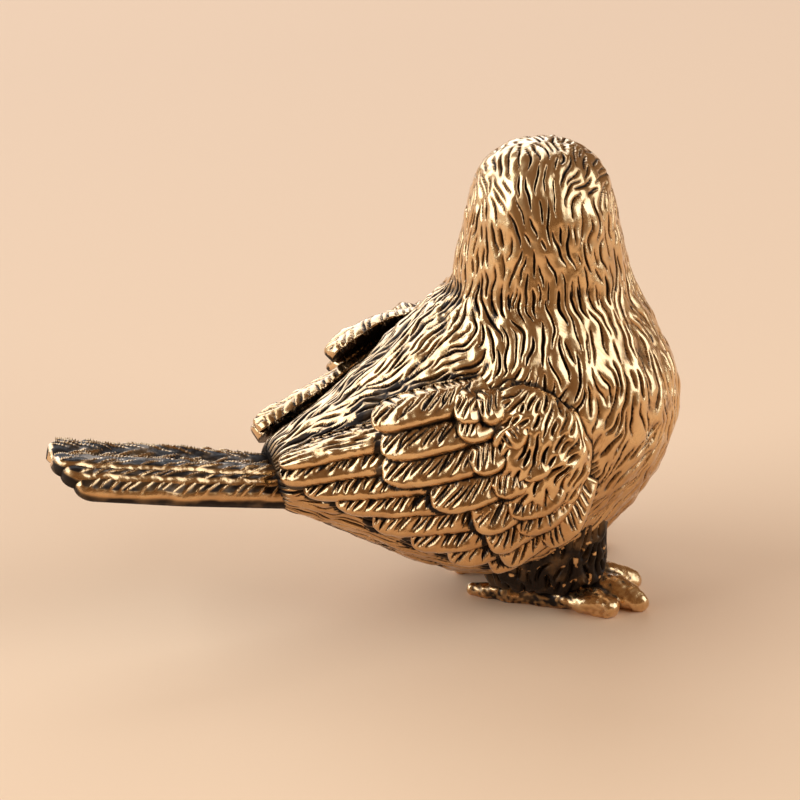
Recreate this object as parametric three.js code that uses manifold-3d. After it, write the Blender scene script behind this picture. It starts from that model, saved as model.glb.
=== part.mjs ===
// A perching sparrow in cast brass, about 57 mm from breast to tail tip, with its head turned to its left.
// The wax pattern is built up from separate pieces: a torso, a head with its beak and eyes, three layers of
// feathers on each wing, six tail feathers, two thighs and two feet. Each piece is one solid here.
// Millimetres. +X is the way the breast faces, +Y the bird's left, +Z up. The feet stand on Z = 0.

import * as THREE from 'three';
import { mergeVertices } from 'three/addons/utils/BufferGeometryUtils.js';
import Module from 'manifold-3d';

const wasm = await Module();
wasm.setup();

// Fit between neighbouring pieces
const seam = 0.3;

// Torso: slanting sections from the neck round to the root of the tail. Each gives the point on the back, the
// point on the breast or belly, and the share of the breast's half width.
const breastHalfWidth = 12.2;
const torsoStations = [
  { back: [-6.7, 29.0], belly: [8.9, 29.0], width: 0.61 },
  { back: [-7.2, 28.2], belly: [11.2, 24.6], width: 0.75 },
  { back: [-7.8, 27.6], belly: [13.4, 18.9], width: 0.9 },
  { back: [-8.5, 26.9], belly: [12.5, 13.0], width: 0.98 },
  { back: [-9.3, 26.2], belly: [8.4, 7.0], width: 1.0 },
  { back: [-10.3, 25.4], belly: [2.6, 2.8], width: 0.99 },
  { back: [-12.0, 24.0], belly: [-4.6, 1.9], width: 0.92 },
  { back: [-15.0, 21.4], belly: [-11.6, 4.0], width: 0.72 },
  { back: [-18.5, 18.6], belly: [-17.3, 7.2], width: 0.52 },
  { back: [-23.5, 15.4], belly: [-23.5, 10.2], width: 0.37 },
];

// Plumage: tufts in columns that waver down the skin, with a furrow between each two columns
const furrowDepth = 0.4;
const torsoTufts = 24;
const headTufts = 16;
const tuftWaver = 0.8;

// Head, in its own frame: face forward, nape behind
const headTurn = THREE.MathUtils.degToRad(75);
const headHeight = 12.4;
const faceReach = 7.9;
const napeReach = 7.4;
const cheekHalfWidth = 7.8;

// Beak
const beakLength = 4.7;
const beakHalfWidth = 1.6;
const upperBeakDepth = 1.7;
const lowerBeakDepth = 1.2;
const beakHeight = 4.9;
const beakDroop = 0.8;

// Eyes
const eyeRadius = 1.0;
const eyeHeight = 6.0;
const eyeAngle = THREE.MathUtils.degToRad(50);
const eyeProud = 0.4;
const eyeSides = 10;

// Wing layers: feather widths, and how far their roots and tips stand out from the torso
const flightWidth = 3.2;
const flightRoot = 0.4;
const flightTop = 1.8;
const covertWidth = 3.7;
const covertRoot = 0.8;
const covertTop = 2.5;
const scaleWidth = 3.6;
const scaleRoot = 0.8;
const scaleTop = 2.3;
const vaneRoll = 0.25;
const vaneCamber = 0.4;
const featherRootShare = 0.8;
const shoulderPadTop = 1.8;
const shoulderBed = 2;
const thinnestVane = 0.2;
const tipCrowding = 1.6;
const tipNarrowing = 0.94;
const flightLift = 0.1;
const covertLift = 0.4;

// Tail
const tailLength = 19.6;
const tailTilt = THREE.MathUtils.degToRad(10.6);
const tailFeatherWidth = 3.7;
const tailFeatherThickness = 1.8;
const tailRise = 0.3;
const tailHalfSpread = 3.2;
const tailRoll = THREE.MathUtils.degToRad(24);
const tailTierDrop = 0.6;
const tailCamber = 0.3;
const tailShoulder = 0.82;

// Thighs and feet
const footHub = new THREE.Vector2(3.9, -5.8);
const footHeight = 3.0;
const hubRadius = 1.9;
const toeRadius = 1.15;
const toeTipHeight = 0.8;
const webThickness = 0.7;
const ankleRadius = 1.8;
const thighHem = { centre: new THREE.Vector2(0.3, -5.0), reach: 4.8, width: 2.2, height: 2.3 };
const thighTop = { centre: new THREE.Vector2(-0.5, -5.5), reach: 6.2, width: 4.0, height: 9 };
const thighTurn = THREE.MathUtils.degToRad(-17);

const lerp = THREE.MathUtils.lerp;
const radians = THREE.MathUtils.degToRad;

// A closed surface through a row of rings that all have the same number of points.
function loft(rings) {
  const count = rings[0].length;
  const faces = [];
  for (let i = 0; i < rings.length - 1; i++) {
    for (let j = 0; j < count; j++) {
      const a = i * count + j;
      const b = i * count + (j + 1) % count;
      faces.push(a, b, b + count, a, b + count, a + count);
    }
  }
  const last = (rings.length - 1) * count;
  for (let j = 1; j < count - 1; j++) {
    faces.push(0, j + 1, j, last, last + j, last + j + 1);
  }
  const geometry = new THREE.BufferGeometry().setFromPoints(rings.flat());
  geometry.setIndex(faces);
  return geometry;
}

// Geometry to solid. A surface that came out inside out is turned the right way round.
function solidOf(geometry) {
  const bare = geometry.clone();
  bare.deleteAttribute('normal');
  bare.deleteAttribute('uv');
  const merged = mergeVertices(bare, 1e-4);
  const triVerts = new Uint32Array(merged.index.array);
  const vertProperties = new Float32Array(merged.attributes.position.array);
  const made = new wasm.Manifold(new wasm.Mesh({ numProp: 3, vertProperties, triVerts }));
  if (made.volume() >= 0) {
    return made;
  }
  return new wasm.Manifold(new wasm.Mesh({ numProp: 3, vertProperties, triVerts: triVerts.reverse() }));
}

function geometryOf(solid) {
  const mesh = solid.getMesh();
  const geometry = new THREE.BufferGeometry();
  geometry.setAttribute('position', new THREE.BufferAttribute(mesh.vertProperties, 3));
  geometry.setIndex(new THREE.BufferAttribute(mesh.triVerts, 1));
  return geometry;
}

function joined(solids) {
  return solids.reduce((sum, solid) => sum.add(solid));
}

function mirrored(solid) {
  return solidOf(geometryOf(solid).scale(1, -1, 1));
}

// Torso skin: the station runs from neck to tail, and the angle from the back down the bird's right side.
const lastStation = torsoStations.length - 1;
const backLine = new THREE.SplineCurve(torsoStations.map(({ back }) => new THREE.Vector2(...back)));
const bellyLine = new THREE.SplineCurve(torsoStations.map(({ belly }) => new THREE.Vector2(...belly)));
const widthLine = new THREE.SplineCurve(torsoStations.map(({ width }, i) => new THREE.Vector2(i, width)));

function torsoPoint(station, angle, grow = 0) {
  const t = station / lastStation;
  const back = backLine.getPoint(t);
  const belly = bellyLine.getPoint(t);
  const middle = back.clone().add(belly).multiplyScalar(0.5);
  const rise = back.clone().sub(belly);
  const halfHeight = rise.length() / 2 + grow;
  const halfWidth = widthLine.getPoint(t).y * breastHalfWidth + grow;
  middle.addScaledVector(rise.normalize(), halfHeight * Math.cos(angle));
  return new THREE.Vector3(middle.x, -halfWidth * Math.sin(angle), middle.y);
}

// How far a point of the skin lies below the crests. Crests are the even columns, and swell into tufts that
// are staggered from one column to the next. The relief dies out towards the first and the last ring.
function furrow(ring, column, rings) {
  const fade = Math.min(1, ring / 2, (rings - ring) / 5);
  const swell = column % 2 === 1 ? 1 : (1 - Math.cos((Math.PI * (ring + column)) / 2)) / 6;
  return furrowDepth * fade * swell;
}

// The angle of a column, which wavers by half a column from ring to ring.
function tuftAngle(ring, column, columns) {
  return (2 * Math.PI * (column + Math.sin(ring * tuftWaver) / 2)) / columns;
}

// The torso with its tufts, or a plain one that is grown to cut the pieces that lie on it.
function torsoSolid(grow) {
  const steps = 24;
  const sides = grow > 0 ? 28 : 2 * torsoTufts;
  const rings = [];
  for (let i = 0; i <= steps; i++) {
    const station = (lastStation * i) / steps;
    rings.push(Array.from({ length: sides }, (_, j) => {
      const depth = grow > 0 ? -grow : furrow(i, j, steps);
      return torsoPoint(station, tuftAngle(i, j, sides), -depth);
    }));
  }
  if (grow > 0) {
    rings.unshift(rings[0].map((point) => point.clone().setZ(point.z + grow)));
    rings.push(rings.at(-1).map((point) => point.clone().setX(point.x - grow)));
  }
  return solidOf(loft(rings));
}

// Head skin: level sections from the neck to the crown. Each row gives the height, and the reach of the face,
// the nape and the cheeks, as shares of the sizes above.
const headSections = [
  { height: 0, face: 0.95, nape: 1, cheek: 1 },
  { height: 0.2, face: 0.99, nape: 0.975, cheek: 0.955 },
  { height: 0.39, face: 1, nape: 0.935, cheek: 0.88 },
  { height: 0.59, face: 0.925, nape: 0.88, cheek: 0.815 },
  { height: 0.75, face: 0.775, nape: 0.775, cheek: 0.725 },
  { height: 0.87, face: 0.59, nape: 0.605, cheek: 0.575 },
  { height: 0.96, face: 0.34, nape: 0.355, cheek: 0.345 },
  { height: 1, face: 0, nape: 0, cheek: 0 },
];
const [faceLine, napeLine, cheekLine] = ['face', 'nape', 'cheek'].map((part) =>
  new THREE.SplineCurve(headSections.map((row) => new THREE.Vector2(row[part], row.height))));

function headPoint(t, angle, grow = 0) {
  const ahead = Math.cos(angle) >= 0;
  const lengthwise = ahead ? faceLine.getPoint(t) : napeLine.getPoint(t);
  const reach = lengthwise.x * (ahead ? faceReach : napeReach);
  const half = cheekLine.getPoint(t).x * cheekHalfWidth;
  return new THREE.Vector3(
    (reach + grow) * Math.cos(angle),
    (half + grow) * Math.sin(angle),
    lengthwise.y * headHeight + grow * t,
  );
}

// The head with its tufts, or a plain one that is grown to cut the beak.
function headSolid(grow) {
  const steps = 11;
  const sides = grow > 0 ? 24 : 2 * headTufts;
  const rings = [];
  for (let i = 0; i < steps; i++) {
    rings.push(Array.from({ length: sides }, (_, j) => {
      const depth = grow > 0 ? -grow : furrow(i, j, steps);
      return headPoint(i / steps, tuftAngle(i, j, sides), -depth);
    }));
  }
  rings.push(Array(sides).fill(new THREE.Vector3(0, 0, headHeight + grow)));
  return solidOf(loft(rings));
}

// Beak halves: half-oval sections that shrink to a blunt point.
function mandible(depth) {
  const steps = 6;
  const sides = 10;
  const rings = [];
  for (let i = 0; i <= steps; i++) {
    const t = i / steps;
    const along = lerp(faceReach / 2, faceReach + beakLength, t);
    const size = Math.max(0.1, 1 - t ** 1.8);
    const parting = beakHeight - beakDroop * t ** 2 + (Math.sign(depth) * seam) / 2;
    rings.push(Array.from({ length: sides + 1 }, (_, j) => {
      const angle = (Math.PI * j) / sides;
      return new THREE.Vector3(
        along,
        beakHalfWidth * size * Math.cos(angle),
        parting + depth * size * Math.sin(angle),
      );
    }));
  }
  return solidOf(loft(rings));
}

function ball(radius, centre, sides) {
  const geometry = new THREE.SphereGeometry(radius, sides, sides / 2);
  geometry.translate(centre.x, centre.y, centre.z);
  return solidOf(geometry);
}

// One feather laid along place(t), which gives the point, the outward normal and the side direction at t.
function feather(spec, place, grow) {
  const across = Array.from({ length: spec.columns }, (_, k) => (2 * k) / (spec.columns - 1) - 1);
  const overrun = grow / place(0).point.distanceTo(place(1).point);
  const rings = [];
  for (let i = 0; i <= spec.steps; i++) {
    const t = 1 - (1 - i / spec.steps) ** tipCrowding;
    const { point, normal, side } = place(lerp(-overrun, 1 + overrun, t));
    const tip = Math.sqrt(1 - (Math.max(0, t - spec.shoulder) / (1 - spec.shoulder)) ** 2 * tipNarrowing);
    const root = lerp(spec.rootShare, 1, Math.min(1, t * 2));
    const half = (spec.width / 2) * root * tip + grow;
    const top = lerp(spec.rootTop, spec.tipTop, Math.min(1, t / spec.rise));
    const bottom = lerp(spec.rootBottom, spec.tipBottom, t);
    const ring = across.map((v) => {
      const height = Math.max(bottom + thinnestVane, top + spec.roll * v - spec.camber * v * v);
      return point.clone().addScaledVector(side, v * half).addScaledVector(normal, height + grow);
    });
    for (const v of [1, -1]) {
      ring.push(point.clone().addScaledVector(side, v * half).addScaledVector(normal, bottom - grow));
    }
    rings.push(ring);
  }
  return solidOf(loft(rings));
}

// A place on the right flank at a torso station and an angle in degrees: the point, the way out of the torso,
// and the ways back along it and down round it.
function flankPlace(station, degrees) {
  const step = 0.01;
  const angle = radians(degrees);
  const point = torsoPoint(station, angle);
  const back = torsoPoint(station + step, angle).sub(torsoPoint(station - step, angle));
  const down = torsoPoint(station, angle + step).sub(torsoPoint(station, angle - step));
  return { point, normal: back.clone().cross(down).normalize(), back, down };
}

// A course over the right flank, from a root to a tip, each given as a torso station and an angle in degrees.
function flankCourse(root, tip) {
  return (t) => {
    const { point, normal, back, down } = flankPlace(lerp(root[0], tip[0], t), lerp(root[1], tip[1], t));
    const along = back.multiplyScalar(tip[0] - root[0])
      .addScaledVector(down, radians(tip[1] - root[1]))
      .normalize();
    return { point, normal, side: normal.clone().cross(along).normalize() };
  };
}

// Flight feathers: long blades from under the coverts back to the rump, the topmost first.
const flightFeathers = [
  { root: [4.6, 52], tip: [8.9, 47] },
  { root: [4.8, 62], tip: [8.95, 61] },
  { root: [4.9, 71], tip: [8.6, 77] },
  { root: [5.0, 80], tip: [8.2, 89] },
  { root: [5.0, 88], tip: [7.6, 100] },
  { root: [5.0, 96], tip: [7.0, 107] },
  { root: [4.9, 103], tip: [6.5, 113] },
  { root: [4.8, 109], tip: [6.0, 118] },
];

// Coverts: shorter rounded feathers over the roots of the flight feathers.
const covertFeathers = [
  { root: [3.9, 46], tip: [7.1, 42] },
  { root: [4.1, 57], tip: [7.1, 55] },
  { root: [4.2, 68], tip: [7.2, 67] },
  { root: [4.2, 78], tip: [6.5, 80] },
  { root: [4.3, 87], tip: [6.0, 92] },
  { root: [4.4, 95], tip: [5.9, 102] },
  { root: [4.5, 103], tip: [5.8, 110] },
];

// Shoulder: rows of small scale-like feathers from the bend of the wing back over the coverts. Each row runs
// from its top tip to its bottom tip, and every feather in it reaches forward by the same part of a station.
const shoulderRows = [
  { top: [5.5, 49], bottom: [5.5, 101], reach: 1.35, count: 6 },
  { top: [4.8, 50], bottom: [5.15, 105], reach: 1.25, count: 6 },
  { top: [4.05, 57], bottom: [4.6, 95], reach: 1.3, count: 4 },
];

function wingLayer(feathers, shape, grow) {
  return joined(feathers.map(({ root, tip }, i) => {
    const raised = shape.lift * Math.max(0, 1 - i / 3);
    return feather({
      ...shape,
      rootShare: featherRootShare,
      tipTop: shape.tipTop + raised,
      rootBottom: shape.bed,
      tipBottom: shape.bed + raised,
      roll: vaneRoll,
      camber: vaneCamber,
    }, flankCourse(root, tip), grow);
  }));
}

const flightShape = {
  width: flightWidth,
  rootTop: flightRoot,
  tipTop: flightTop,
  rise: 0.8,
  bed: seam,
  lift: flightLift,
  shoulder: 0.8,
  steps: 6,
  columns: 4,
};
const covertShape = {
  width: covertWidth,
  rootTop: covertRoot,
  tipTop: covertTop,
  rise: 1,
  bed: seam,
  lift: covertLift,
  shoulder: 0.6,
  steps: 4,
  columns: 4,
};
const scaleShape = {
  width: scaleWidth,
  rootTop: scaleRoot,
  tipTop: scaleTop,
  rise: 0.5,
  bed: -shoulderBed,
  lift: 0,
  shoulder: 0.5,
  steps: 3,
  columns: 4,
};
const shoulderFeathers = shoulderRows.flatMap((row) => Array.from({ length: row.count }, (_, i) => {
  const [station, angle] = row.top.map((value, k) => lerp(value, row.bottom[k], i / (row.count - 1)));
  return { root: [station - row.reach, angle - 1], tip: [station, angle + 1] };
}));

// The pad of flesh that the shoulder feathers lie on: a dome over the bend of the wing, an oval round a place
// on the flank. Its lower half reaches further back than its upper half.
const padPlace = { station: 4.3, degrees: 80 };
const padReach = { stations: 1.7, degrees: 33, lean: 0.5 };

function padRing(share, height) {
  const sides = 16;
  return Array.from({ length: sides }, (_, j) => {
    const turn = (2 * Math.PI * j) / sides;
    const ahead = padReach.stations * Math.cos(turn) + padReach.lean * Math.sin(turn);
    const { point, normal } = flankPlace(
      padPlace.station + share * ahead,
      padPlace.degrees + share * padReach.degrees * Math.sin(turn),
    );
    return point.addScaledVector(normal, height);
  });
}

const padShares = [1, 0.9, 0.65, 0.35, 0];
const shoulderPad = solidOf(loft([
  padRing(1, -shoulderBed),
  ...padShares.map((share) => padRing(share, shoulderPadTop * (1 - share ** 3) ** 0.7)),
]));

// Tail: a course for each feather, straight back from the rump and turned down at the edges like a roof.
const rump = backLine.getPoint(1).add(bellyLine.getPoint(1)).multiplyScalar(0.5);

const tailRootShare = 0.7;

function tailCourse(offset, length) {
  const back = new THREE.Vector3(-Math.cos(tailTilt), 0, Math.sin(tailTilt));
  const up = new THREE.Vector3(Math.sin(tailTilt), 0, Math.cos(tailTilt));
  const left = new THREE.Vector3(0, 1, 0);
  const roll = tailRoll * offset;
  const normal = up.clone().multiplyScalar(Math.cos(roll)).addScaledVector(left, Math.sin(roll));
  const side = left.clone().multiplyScalar(Math.cos(roll)).addScaledVector(up, -Math.sin(roll));
  const drop = tailTierDrop + tailHalfSpread * Math.tan(tailRoll / 2) * offset ** 2;
  return (t) => {
    const point = new THREE.Vector3(rump.x - seam, 0, rump.y)
      .addScaledVector(back, length * t)
      .addScaledVector(left, offset * tailHalfSpread * lerp(tailRootShare, 1, t))
      .addScaledVector(up, tailRise + tailTierDrop - drop);
    return { point, normal, side };
  };
}

// Places of the right foot seen from above. The hind toe bends round the outside of the foot.
const hindToe = [new THREE.Vector2(1.1, -6.6), new THREE.Vector2(-2.5, -4.4), new THREE.Vector2(-6.3, -1.7)];
const outerToe = [new THREE.Vector2(4.0, -8.6), new THREE.Vector2(5.7, -10.3)];
const middleToe = [new THREE.Vector2(6.2, -7.9), new THREE.Vector2(8.2, -9.6)];
const innerToe = [new THREE.Vector2(6.4, -5.9), new THREE.Vector2(8.6, -5.7)];

// A toe that comes down from the hub to the floor along its places, with a blunt end.
function toe(places, grow) {
  const steps = places.length + 2;
  const sides = 8;
  const route = new THREE.CatmullRomCurve3([footHub, ...places].map((place, i) =>
    new THREE.Vector3(place.x, place.y, lerp(footHeight / 2, toeTipHeight, Math.min(1, i / 2)))));
  const rings = [];
  for (let i = 0; i <= steps; i++) {
    const t = i / steps;
    const size = toeRadius * Math.max(0.25, Math.sqrt(1 - t ** 5)) + grow;
    const side = new THREE.Vector3(0, 0, 1).cross(route.getTangent(t)).normalize();
    const up = route.getTangent(t).cross(side);
    rings.push(Array.from({ length: sides }, (_, j) => {
      const angle = (2 * Math.PI * j) / sides;
      return route.getPoint(t)
        .addScaledVector(side, size * Math.cos(angle))
        .addScaledVector(up, size * Math.sin(angle));
    }));
  }
  return solidOf(loft(rings));
}

// A foot: toes that meet in a hub under the ankle, on a thin web that is ground flat underneath. A grown one
// cuts the thigh.
function footSolid(grow) {
  const pad = new THREE.CylinderGeometry(ankleRadius + grow, hubRadius + grow, footHeight + grow, 16);
  pad.rotateX(Math.PI / 2).translate(footHub.x, footHub.y, (footHeight + grow) / 2);
  const corners = [hindToe.at(-1), hindToe[0], outerToe.at(-1), middleToe.at(-1), innerToe.at(-1)];
  const outline = new THREE.Shape(corners);
  const web = new THREE.ExtrudeGeometry(outline, { depth: webThickness, bevelEnabled: false });
  const groundSize = 60;
  const below = new THREE.BoxGeometry(groundSize, groundSize, footHeight);
  below.translate(0, 0, -footHeight / 2);
  const toes = [hindToe, outerToe, middleToe, innerToe].map((places) => toe(places, grow));
  const raised = joined([solidOf(pad), solidOf(web), ...toes]);
  return raised.subtract(solidOf(below));
}

// Thighs: feathers that hang from the belly in a long oval, down on to the ankle and over the hind toe.
function thighSolid() {
  const steps = 4;
  const sides = 14;
  const rings = [];
  for (let i = 0; i <= steps; i++) {
    const t = i / steps;
    const swell = Math.sqrt(t);
    const centre = thighHem.centre.clone().lerp(thighTop.centre, t);
    const reach = lerp(thighHem.reach, thighTop.reach, swell);
    const width = lerp(thighHem.width, thighTop.width, swell);
    rings.push(Array.from({ length: sides }, (_, j) => {
      const angle = (2 * Math.PI * j) / sides;
      const place = new THREE.Vector2(reach * Math.cos(angle), width * Math.sin(angle))
        .rotateAround(new THREE.Vector2(), thighTurn)
        .add(centre);
      return new THREE.Vector3(place.x, place.y, lerp(thighHem.height, thighTop.height, t));
    }));
  }
  return solidOf(loft(rings));
}

// Materials, one for each finish
const plumageBrass = new THREE.MeshStandardMaterial({ color: 0xb8924f, roughness: 0.34, metalness: 1 });
const featherBrass = new THREE.MeshStandardMaterial({ color: 0xc09a58, roughness: 0.3, metalness: 1 });
const limbBrass = new THREE.MeshStandardMaterial({ color: 0xa47c3f, roughness: 0.4, metalness: 1 });
const eyeBrass = new THREE.MeshStandardMaterial({ color: 0x6b4f2a, roughness: 0.25, metalness: 1 });

const bird = new THREE.Group();

function piece(name, solid, material, parent = bird) {
  const mesh = new THREE.Mesh(geometryOf(solid), material);
  mesh.name = name;
  parent.add(mesh);
}

const torsoWithSeam = torsoSolid(seam);
piece('torso', torsoSolid(0), plumageBrass);

// Head group: stands on the neck, turned to the bird's left
const headGroup = new THREE.Group();
const neck = backLine.getPoint(0).add(bellyLine.getPoint(0)).multiplyScalar(0.5);
headGroup.position.set(neck.x, 0, neck.y + seam);
headGroup.rotation.z = headTurn;
bird.add(headGroup);
const [leftEye, rightEye] = [1, -1].map((side) =>
  headPoint(eyeHeight / headHeight, side * eyeAngle, eyeProud - eyeRadius));
const head = headSolid(0)
  .subtract(ball(eyeRadius + seam, leftEye, eyeSides))
  .subtract(ball(eyeRadius + seam, rightEye, eyeSides));
piece('head', head, plumageBrass, headGroup);
piece('upper_beak', mandible(upperBeakDepth).subtract(headSolid(seam)), limbBrass, headGroup);
piece('lower_beak', mandible(-lowerBeakDepth).subtract(headSolid(seam)), limbBrass, headGroup);
piece('left_eye', ball(eyeRadius, leftEye, eyeSides), eyeBrass, headGroup);
piece('right_eye', ball(eyeRadius, rightEye, eyeSides), eyeBrass, headGroup);

// Wings: each layer is cut to lie on the one below
const flight = wingLayer(flightFeathers, flightShape, 0).subtract(torsoWithSeam);
const flightWithSeam = wingLayer(flightFeathers, flightShape, seam);
const coverts = wingLayer(covertFeathers, covertShape, 0).subtract(flightWithSeam).subtract(torsoWithSeam);
const covertsWithSeam = wingLayer(covertFeathers, covertShape, seam);
const shoulder = wingLayer(shoulderFeathers, scaleShape, 0).add(shoulderPad)
  .subtract(flightWithSeam).subtract(covertsWithSeam).subtract(torsoWithSeam);
for (const [side, placed] of [['right', (solid) => solid], ['left', mirrored]]) {
  piece(`${side}_wing_shoulder`, placed(shoulder), featherBrass);
  piece(`${side}_wing_coverts`, placed(coverts), featherBrass);
  piece(`${side}_flight_feathers`, placed(flight), featherBrass);
}

// Tail: built from the top feather down, each lower one cut to lie under those above
const tailTiers = [
  { name: 'middle', offset: 0.28, length: tailLength },
  { name: 'inner', offset: 0.65, length: tailLength * 0.97 },
  { name: 'outer', offset: 1.0, length: tailLength * 0.92 },
];
const tailShape = {
  width: tailFeatherWidth,
  steps: 7,
  columns: 5,
  rise: 1,
  shoulder: tailShoulder,
  rootShare: featherRootShare,
  rootTop: tailFeatherThickness / 2,
  tipTop: tailFeatherThickness / 2,
  rootBottom: -tailFeatherThickness / 2,
  tipBottom: -tailFeatherThickness / 2,
  roll: 0,
  camber: tailCamber,
};
const laid = [];
for (const tier of tailTiers) {
  for (const [side, sign] of [['right', -1], ['left', 1]]) {
    const course = tailCourse(sign * tier.offset, tier.length);
    const blade = laid.reduce((solid, above) => solid.subtract(above), feather(tailShape, course, 0));
    piece(`${side}_${tier.name}_tail_feather`, blade.subtract(torsoWithSeam), featherBrass);
    laid.push(feather(tailShape, course, seam));
  }
}

const foot = footSolid(0).subtract(torsoWithSeam);
const thigh = thighSolid().subtract(torsoWithSeam).subtract(flightWithSeam).subtract(footSolid(seam));
for (const [side, placed] of [['right', (solid) => solid], ['left', mirrored]]) {
  piece(`${side}_thigh`, placed(thigh), plumageBrass);
  piece(`${side}_foot`, placed(foot), limbBrass);
}

// The origin is under the middle of the bird, on the surface it stands on
bird.updateMatrixWorld(true);
const extent = new THREE.Box3().setFromObject(bird, true);
bird.position.set(-(extent.min.x + extent.max.x) / 2, -(extent.min.y + extent.max.y) / 2, -extent.min.z);
const sparrow = new THREE.Group();
sparrow.add(bird);

export default sparrow;
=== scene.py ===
import math
import random

import bmesh
import bpy
import numpy as np
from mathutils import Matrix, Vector, kdtree, noise


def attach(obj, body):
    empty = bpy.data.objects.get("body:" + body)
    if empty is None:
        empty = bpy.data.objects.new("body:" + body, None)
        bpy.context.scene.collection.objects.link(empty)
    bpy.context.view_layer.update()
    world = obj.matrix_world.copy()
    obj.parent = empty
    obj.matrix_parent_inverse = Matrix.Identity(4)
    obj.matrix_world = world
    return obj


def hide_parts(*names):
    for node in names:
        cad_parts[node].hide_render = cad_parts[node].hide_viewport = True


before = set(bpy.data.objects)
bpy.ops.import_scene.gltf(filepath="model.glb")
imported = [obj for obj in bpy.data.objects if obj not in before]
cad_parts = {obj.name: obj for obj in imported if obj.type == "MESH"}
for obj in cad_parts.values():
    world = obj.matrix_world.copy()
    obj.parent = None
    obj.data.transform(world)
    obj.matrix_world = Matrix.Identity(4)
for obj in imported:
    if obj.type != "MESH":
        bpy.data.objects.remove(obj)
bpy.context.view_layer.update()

# Camera
# The picture is taken from behind the bird's right shoulder with a long lens that looks down on it, so that
# the tail runs out to the left and the turned head shows its nape.
camera_azimuth = math.radians(-15)
camera_elevation = math.radians(24)
camera_distance = 0.6
camera_target = Vector((0.00327, 0, 0.0185))
picture_width = 0.07
backwards = Vector((
    math.sin(camera_azimuth) * math.cos(camera_elevation),
    -math.cos(camera_azimuth) * math.cos(camera_elevation),
    math.sin(camera_elevation),
))


def add_object(name, data):
    made = bpy.data.objects.new(name, data)
    bpy.context.scene.collection.objects.link(made)
    return made


camera = add_object("camera", bpy.data.cameras.new("camera"))
camera.data.lens = camera.data.sensor_width * camera_distance / picture_width
camera.data.clip_start = 0.05
camera.location = camera_target + backwards * camera_distance
camera.rotation_euler = backwards.to_track_quat("Z", "Y").to_euler()
bpy.context.scene.camera = camera
bpy.context.scene.view_settings.view_transform = "Standard"


# Floor
# A broad sheet of matt peach card that fills the picture and ends a hand's breadth in front of the bird. The
# underside of the brass reflects it.
class Channel:
    """An output in a node tree. Arithmetic on it adds Math nodes, and node() adds any other."""

    def __init__(self, tree, output=None):
        self.tree = tree
        self.output = output

    def node(self, kind, settings=None, sockets=None, output=0):
        made = self.tree.nodes.new(kind)
        for name, value in (settings or {}).items():
            setattr(made, name, value)
        for name, value in (sockets or {}).items():
            if isinstance(value, Channel):
                self.tree.links.new(value.output, made.inputs[name])
            else:
                made.inputs[name].default_value = value
        return Channel(self.tree, made.outputs[output]) if len(made.outputs) else None

    def math(self, operation, first, second, clamp=False):
        settings = {"operation": operation, "use_clamp": clamp}
        return self.node("ShaderNodeMath", settings, {0: first, 1: second})

    def __add__(self, other):
        return self.math("ADD", self, other)

    __radd__ = __add__

    def __mul__(self, other):
        return self.math("MULTIPLY", self, other)

    __rmul__ = __mul__

    def __sub__(self, other):
        return self.math("SUBTRACT", self, other)

    def __rsub__(self, other):
        return self.math("SUBTRACT", other, self)

    def clamped(self):
        return self.math("ADD", self, 0, clamp=True)

    def blend(self, low, high):
        # The Mix node's share goes in at 0, its two colours at 6 and 7, and the result is output 2
        sockets = {0: self, 6: low, 7: high}
        return self.node("ShaderNodeMix", {"data_type": "RGBA"}, sockets, output=2)


def new_finish(name):
    material = bpy.data.materials.new(name)
    material.use_nodes = True
    material.node_tree.nodes.clear()
    return material, Channel(material.node_tree)


# Painted shade and light on the card: darker at the back of the picture, and lighter and warmer towards the
# front and round the bird, standing in for how the light falls over the floor
card_far_painted_shade = (0.81, 0.555, 0.365, 1)
card_near_painted_light = (0.92, 0.625, 0.39, 1)
card_fade = 5.5
card_fade_at_bird = 0.28
card, start = new_finish("peach_card")
place = start.node("ShaderNodeTexCoord", output="Object")
depth = start.node("ShaderNodeSeparateXYZ", None, {"Vector": place}, output=1)
fibre = start.node("ShaderNodeTexNoise", None, {"Vector": place, "Scale": 2500, "Detail": 3})
bump = start.node("ShaderNodeBump", None, {"Height": fibre, "Strength": 0.1, "Distance": 0.0001})
shader = start.node("ShaderNodeBsdfPrincipled", None, {
    "Base Color": (depth * card_fade + card_fade_at_bird).clamped().blend(card_near_painted_light, card_far_painted_shade),
    "Roughness": 0.8,
    "Specular IOR Level": 0.2,
    "Normal": bump,
})
start.node("ShaderNodeOutputMaterial", None, {"Surface": shader})

floor_reach = 0.35
card_front = 0.13
shape = bmesh.new()
bmesh.ops.create_grid(shape, x_segments=1, y_segments=1, size=floor_reach)
bmesh.ops.translate(shape, verts=shape.verts, vec=(0, floor_reach - card_front, 0))
mesh = bpy.data.meshes.new("floor")
shape.to_mesh(mesh)
shape.free()
mesh.materials.append(card)
floor = add_object("floor", mesh)


# Lights
# Soft boxes at the left and the right, and a wide one behind the bird that whitens its back and crown. The
# camera's side stays dim, so the brass that faces it turns brown.
box_distance = 1.0
box_tint = (0.74, 0.87, 1)
room_tint = (1.0, 0.56, 0.26, 1)
room_strength = 0.22


def soft_box(name, rightward, upward, away, size, watts):
    lamp = bpy.data.lights.new(name, "AREA")
    lamp.shape = "RECTANGLE"
    lamp.size, lamp.size_y = size
    lamp.energy = watts
    lamp.color = box_tint
    right = Vector((math.cos(camera_azimuth), math.sin(camera_azimuth), 0))
    into = Vector((-math.sin(camera_azimuth), math.cos(camera_azimuth), 0))
    direction = (right * rightward + Vector((0, 0, upward)) + into * away).normalized()
    box = add_object(name, lamp)
    box.location = direction * box_distance
    box.rotation_euler = direction.to_track_quat("Z", "Y").to_euler()


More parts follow.
